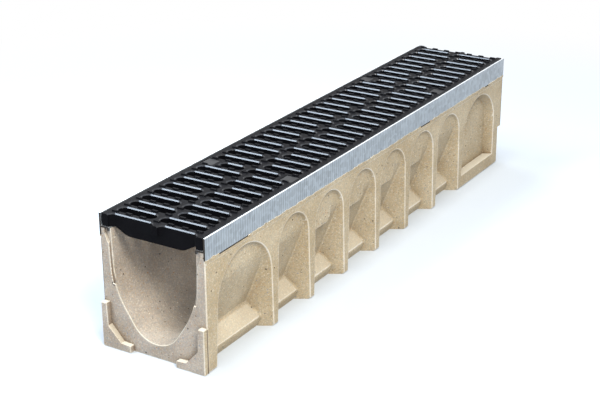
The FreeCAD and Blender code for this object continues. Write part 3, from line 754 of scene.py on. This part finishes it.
class DRAIN_OT_crust(bpy.types.Operator):
    """Leave a crust along the rim of the front seal groove, pale with a painted highlight"""
    bl_idname = "drain.crust"
    bl_label = "Groove crust"

    def execute(self, context):
        look = context.scene.drain_casting
        low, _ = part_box("channel_body")
        end, foot = low.y + SPIGOT_LENGTH, low.z + GROOVE_FOOT
        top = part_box("edge_rail_left")[1].z - CRUST_TOP
        source = merged_copy("channel_body", "groove_crust")
        points = source.data.vertices
        rim = [edge.index for edge in source.data.edges
               if all(on_groove_rim(points[index].co, end, foot, top) for index in edge.vertices)]
        select_only(source)
        bpy.context.tool_settings.mesh_select_mode = (False, True, False)
        bpy.ops.object.mode_set(mode="EDIT")
        bpy.ops.mesh.select_all(action="DESELECT")
        bpy.ops.object.mode_set(mode="OBJECT")
        for index in rim:
            source.data.edges[index].select = True
        bpy.ops.object.mode_set(mode="EDIT")
        bpy.ops.mesh.select_all(action="INVERT")
        bpy.ops.mesh.delete(type="EDGE")
        bpy.ops.object.mode_set(mode="OBJECT")
        bpy.ops.object.convert(target="CURVE")
        line = bpy.context.object
        line.data.bevel_depth = CRUST_RADIUS
        line.data.bevel_resolution = 2
        line.data.use_fill_caps = True
        bpy.ops.object.convert(target="MESH")
        piece = bpy.context.object
        piece.name = piece.data.name = "groove_crust"
        even = piece.modifiers.new("Even", "REMESH")
        even.mode = "VOXEL"
        even.voxel_size = CRUST_VOXEL
        apply_modifiers(piece)
        roughen(piece, "crumbs", *CRUMBS)
        roughen(piece, "lumps", *LUMPS)
        # Painted highlight: the crust takes the near-white edge colour.
        finish_piece(piece, "trough", "polymer_concrete",
                     polymer_concrete("groove crust with painted highlight", look.rubbed, look.rubbed, 0.35))
        return {"FINISHED"}


class DRAIN_OT_rails(bpy.types.Operator):
    """Galvanise the two edge rails"""
    bl_idname = "drain.rails"
    bl_label = "Edge rails"

    def execute(self, context):
        zinc = galvanised_steel(context.scene.drain_rail)
        for side in ("right", "left"):
            rail = nodes["edge_rail_" + side]
            rail.data.materials.clear()
            rail.data.materials.append(zinc)
        return {"FINISHED"}


class DRAIN_OT_gratings(bpy.types.Operator):
    """Round the gratings' rims and studs and give them their coating"""
    bl_idname = "drain.gratings"
    bl_label = "Gratings"

    def execute(self, context):
        look = context.scene.drain_grating
        coats = (coated_cast_iron("dip-coated cast iron", look.thin_coating, look.coating,
                                  grain_depth=0.3 * MM, dullness=0.42, gloss=0.05),
                 coated_cast_iron("dip coating with painted highlight", look.rubbed, look.thin_coating,
                                  grain_depth=0.03 * MM, dullness=0.12, gloss=0.6))
        for place in ("front", "rear"):
            piece = merged_copy("grating_" + place, place + "_grating_casting", join_flat=False)
            finish_piece(piece, place + "_grating", "coated_cast_iron", *coats)
            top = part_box("edge_rail_right")[1].z
            # Painted highlight: the slots' upward chamfers near the top, and the rounded edges below, get the
            # lighter rim coat.
            for face in piece.data.polygons:
                if face.center.z > top - RIM_DEPTH and RIM_SLOPE[0] < face.normal.z < RIM_SLOPE[1]:
                    face.material_index = HIGHLIGHT_RIM_COAT
            round_edges(piece, look.rim_radius, 3, edge_material=HIGHLIGHT_RIM_COAT)
            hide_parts("grating_" + place)
        return {"FINISHED"}


class DRAIN_OT_locks(bpy.types.Operator):
    """Round the four snap locks and give them their plastic"""
    bl_idname = "drain.locks"
    bl_label = "Snap locks"

    def execute(self, context):
        plastic = moulded_plastic(context.scene.drain_grating)
        for place in ("front", "rear"):
            for side in ("right", "left"):
                node = f"lock_{place}_{side}"
                piece = merged_copy(node, f"{place}_{side}_lock")
                round_edges(piece, LOCK_RADIUS, 2)
                finish_piece(piece, place + "_grating", "lock_plastic", plastic)
                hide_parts(node)
        return {"FINISHED"}


# Stage --------------------------------------------------------------------------------------

def seen_white(tree, lit, share):
    """Mix a lit shader towards plain white for camera, glossy and transmission rays."""
    path = add_node(tree, "ShaderNodeLightPath")
    seen = path.outputs["Is Camera Ray"]
    for ray in ("Is Glossy Ray", "Is Transmission Ray"):
        seen = add_node(tree, "ShaderNodeMath", {0: seen, 1: path.outputs[ray]},
                        operation="MAXIMUM").outputs[0]
    amount = add_node(tree, "ShaderNodeMath", {0: seen, 1: share}, operation="MULTIPLY")
    white = add_node(tree, "ShaderNodeEmission", {"Color": (1, 1, 1, 1), "Strength": 1.0})
    return add_node(tree, "ShaderNodeMixShader",
                    {0: amount.outputs[0], 1: lit, 2: white.outputs[0]}).outputs[0]


def soft_box(name, target, place, run, size, power, colour):
    """Rectangular lamp at a place, turned to the target, with its long side along a run."""
    bpy.ops.object.light_add(type="AREA", location=place)
    lamp = bpy.context.object
    lamp.name = name
    away = (place - target).normalized()
    along = (run - run.dot(away) * away).normalized()
    lamp.rotation_euler = Matrix((along.cross(away), along, away)).transposed().to_euler()
    lamp.data.shape = "RECTANGLE"
    lamp.data.size, lamp.data.size_y = size
    lamp.data.energy = power
    lamp.data.color = colour


# Name, place, direction of the long side, short and long side, power in W, and linear colour.
LAMPS = (
    ("warm_key", (1.4, -1.35, 1.95), (0, 0, 1), (0.8, 0.9), 58, (1.0, 0.95, 0.85)),
    ("cool_strip", (-1.26, -0.88, 2.28), (0.43, 1.3, 0.39), (0.5, 1.7), 42, (0.72, 0.85, 1.0)),
    ("overhead", (0.1, 0.1, 3.0), (0, 1, 0), (0.8, 1.6), 42, (0.98, 0.99, 1.0)),
    ("back_left", (-1.7, 1.2, 2.0), (0, 0, 1), (1.0, 1.0), 16, (0.9, 0.95, 1.0)),
)


FLOOR_GAP = 0.1 * MM      # keeps the floor and the bed from lying in one plane
FADE_REACH = (0.75, 1.5)  # from the middle, where the floor starts and ends its turn to white
FADE_SHARE = (0.08, 1.0)  # how white the floor looks inside and beyond that
AIM_ALONG = -97.5 * MM    # where along the channel the camera looks
SENSOR_WIDTH = 36         # mm


class DRAIN_OT_stage(bpy.types.Operator):
    """Set up the floor, the lamps and the camera"""
    bl_idname = "drain.stage"
    bl_label = "Stage"

    def execute(self, context):
        look = context.scene.drain_stage
        low, high = (Vector(corner) for corner in cad_bounds)
        bpy.ops.mesh.primitive_plane_add(size=look.floor_size, location=(0, 0, low.z - FLOOR_GAP))
        floor = context.object
        floor.name = "floor"
        # Matt paper: no sheen, a soft shadow, and plain white away from the object.
        paper = bpy.data.materials.new("white paper sweep")
        paper.use_nodes = True
        tree = paper.node_tree
        tree.nodes.remove(tree.nodes["Principled BSDF"])
        path = add_node(tree, "ShaderNodeLightPath")
        shade = add_node(tree, "ShaderNodeMix",
                         {"Factor": path.outputs["Is Camera Ray"], 6: (*look.floor_bounce, 1),
                          7: (*look.floor_shade, 1)}, data_type="RGBA")
        matt = add_node(tree, "ShaderNodeBsdfDiffuse", {"Color": shade.outputs[2]})
        place = add_node(tree, "ShaderNodeTexCoord").outputs["Object"]
        reach = add_node(tree, "ShaderNodeVectorMath", {0: place}, operation="LENGTH").outputs["Value"]
        fade = add_node(tree, "ShaderNodeMapRange",
                        {"Value": reach, "From Min": FADE_REACH[0], "From Max": FADE_REACH[1],
                         "To Min": FADE_SHARE[0], "To Max": FADE_SHARE[1]},
                        interpolation_type="SMOOTHSTEP")
        shown = seen_white(tree, matt.outputs[0], fade.outputs["Result"])
        tree.links.new(shown, tree.nodes["Material Output"].inputs["Surface"])
        floor.data.materials.append(paper)

        world = context.scene.world or bpy.data.worlds.new("studio")
        context.scene.world = world
        world.use_nodes = True
        tree = world.node_tree
        sky = tree.nodes["Background"]
        sky.inputs["Color"].default_value = (*look.sky, 1)
        sky.inputs["Strength"].default_value = look.sky_strength
        shown = seen_white(tree, sky.outputs[0], 1.0)
        tree.links.new(shown, tree.nodes["World Output"].inputs["Surface"])

        middle = Vector((0, 0, high.z / 2))
        for name, place, run, size, power, colour in LAMPS:
            soft_box(name, middle, Vector(place), Vector(run), size, power, colour)

        aim_turn = Matrix.Rotation(look.azimuth, 3, "Z")
        backwards = aim_turn @ Vector((0, -math.cos(look.elevation), math.sin(look.elevation)))
        target = Vector((0, AIM_ALONG, high.z / 2))
        bpy.ops.object.camera_add(location=target + backwards * look.distance)
        camera = context.object
        level_turn = Euler((math.pi / 2 - look.elevation, 0, look.azimuth)).to_matrix()
        camera.rotation_euler = (level_turn @ Matrix.Rotation(look.roll, 3, "Z")).to_euler()
        camera.data.lens = look.lens
        camera.data.sensor_width = SENSOR_WIDTH
        context.scene.camera = camera
        context.scene.view_settings.view_transform = "Standard"
        return {"FINISHED"}


class DRAIN_PT_panel(bpy.types.Panel):
    """Every step of the drain, in order"""
    bl_idname = "DRAIN_PT_panel"
    bl_label = "Channel drain"
    bl_space_type = "VIEW_3D"
    bl_region_type = "UI"
    bl_category = "Drain"

    def draw(self, context):
        for name, steps in LAYOUT:
            look = getattr(context.scene, name)
            for prop in look.bl_rna.properties:
                if prop.identifier in look.__annotations__:
                    self.layout.prop(look, prop.identifier)
            for step in steps:
                self.layout.operator(step)


LOOKS = {"drain_casting": CastingLook, "drain_rail": RailLook, "drain_grating": GratingLook,
         "drain_stage": StageLook}
OPERATORS = (DRAIN_OT_trough, DRAIN_OT_flash, DRAIN_OT_crust, DRAIN_OT_rails, DRAIN_OT_gratings,
             DRAIN_OT_locks, DRAIN_OT_stage)
LAYOUT = (("drain_casting", ("drain.trough", "drain.flash", "drain.crust")), ("drain_rail", ("drain.rails",)),
          ("drain_grating", ("drain.gratings", "drain.locks")), ("drain_stage", ("drain.stage",)))


def register():
    for kind in (*LOOKS.values(), *OPERATORS, DRAIN_PT_panel):
        bpy.utils.register_class(kind)
    for name, kind in LOOKS.items():
        setattr(bpy.types.Scene, name, PointerProperty(type=kind))


def unregister():
    for name in LOOKS:
        delattr(bpy.types.Scene, name)
    for kind in reversed((*LOOKS.values(), *OPERATORS, DRAIN_PT_panel)):
        bpy.utils.unregister_class(kind)


def main():
    register()
    bpy.ops.drain.trough()
    bpy.ops.drain.flash()
    bpy.ops.drain.crust()
    bpy.ops.drain.rails()
    bpy.ops.drain.gratings()
    bpy.ops.drain.locks()
    bpy.ops.drain.stage()


if __name__ == "__main__":
    main()
